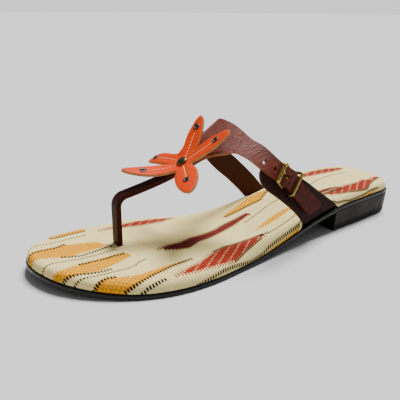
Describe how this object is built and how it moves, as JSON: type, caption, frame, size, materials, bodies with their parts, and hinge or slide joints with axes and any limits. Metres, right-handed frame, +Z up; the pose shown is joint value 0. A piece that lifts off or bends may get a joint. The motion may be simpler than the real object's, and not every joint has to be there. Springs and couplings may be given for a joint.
{
  "type": "t-strap shoe",
  "caption": "Flat T-strap thong sandal for the left foot: padded woven footbed, buckled brown leather straps, low black heel and an orange leather starfish.",
  "frame": {"origin": "middle of the sole's plan, on the floor that the sandal stands on", "axes": "-X towards the toe, +X towards the heel, +Y towards the inner side of the foot, +Z up"},
  "size_m": [0.246, 0.0904, 0.075],
  "materials": {
    "sole": "gloss edge, matt underside",
    "heel": "satin",
    "top_piece": "matt",
    "footbed_cover": "woven jacquard, cream with gold and brick-red leaves",
    "strap_leather": "glossy, fine crosshatch grain",
    "aged_brass": "aged satin",
    "star_leather": "smooth, natural cut edges, cream stitches",
    "pewter": "aged satin",
    "black_eyelet": "satin"
  },
  "bodies": {
    "root": {"outsole": "sole", "heel_block": "heel", "heel_lift": "top_piece", "footbed": "footbed_cover", "t_strap": "strap_leather", "buckle_strap": "strap_leather", "buckle_frame": "aged_brass", "buckle_prong": "aged_brass", "keeper_loop": "aged_brass", "starfish": "star_leather", "center_stud": "pewter", "arm_eyelet_a": "black_eyelet", "arm_eyelet_b": "black_eyelet", "arm_eyelet_c": "black_eyelet", "arm_eyelet_d": "black_eyelet", "arm_eyelet_e": "black_eyelet"}
  },
  "joints": []
}
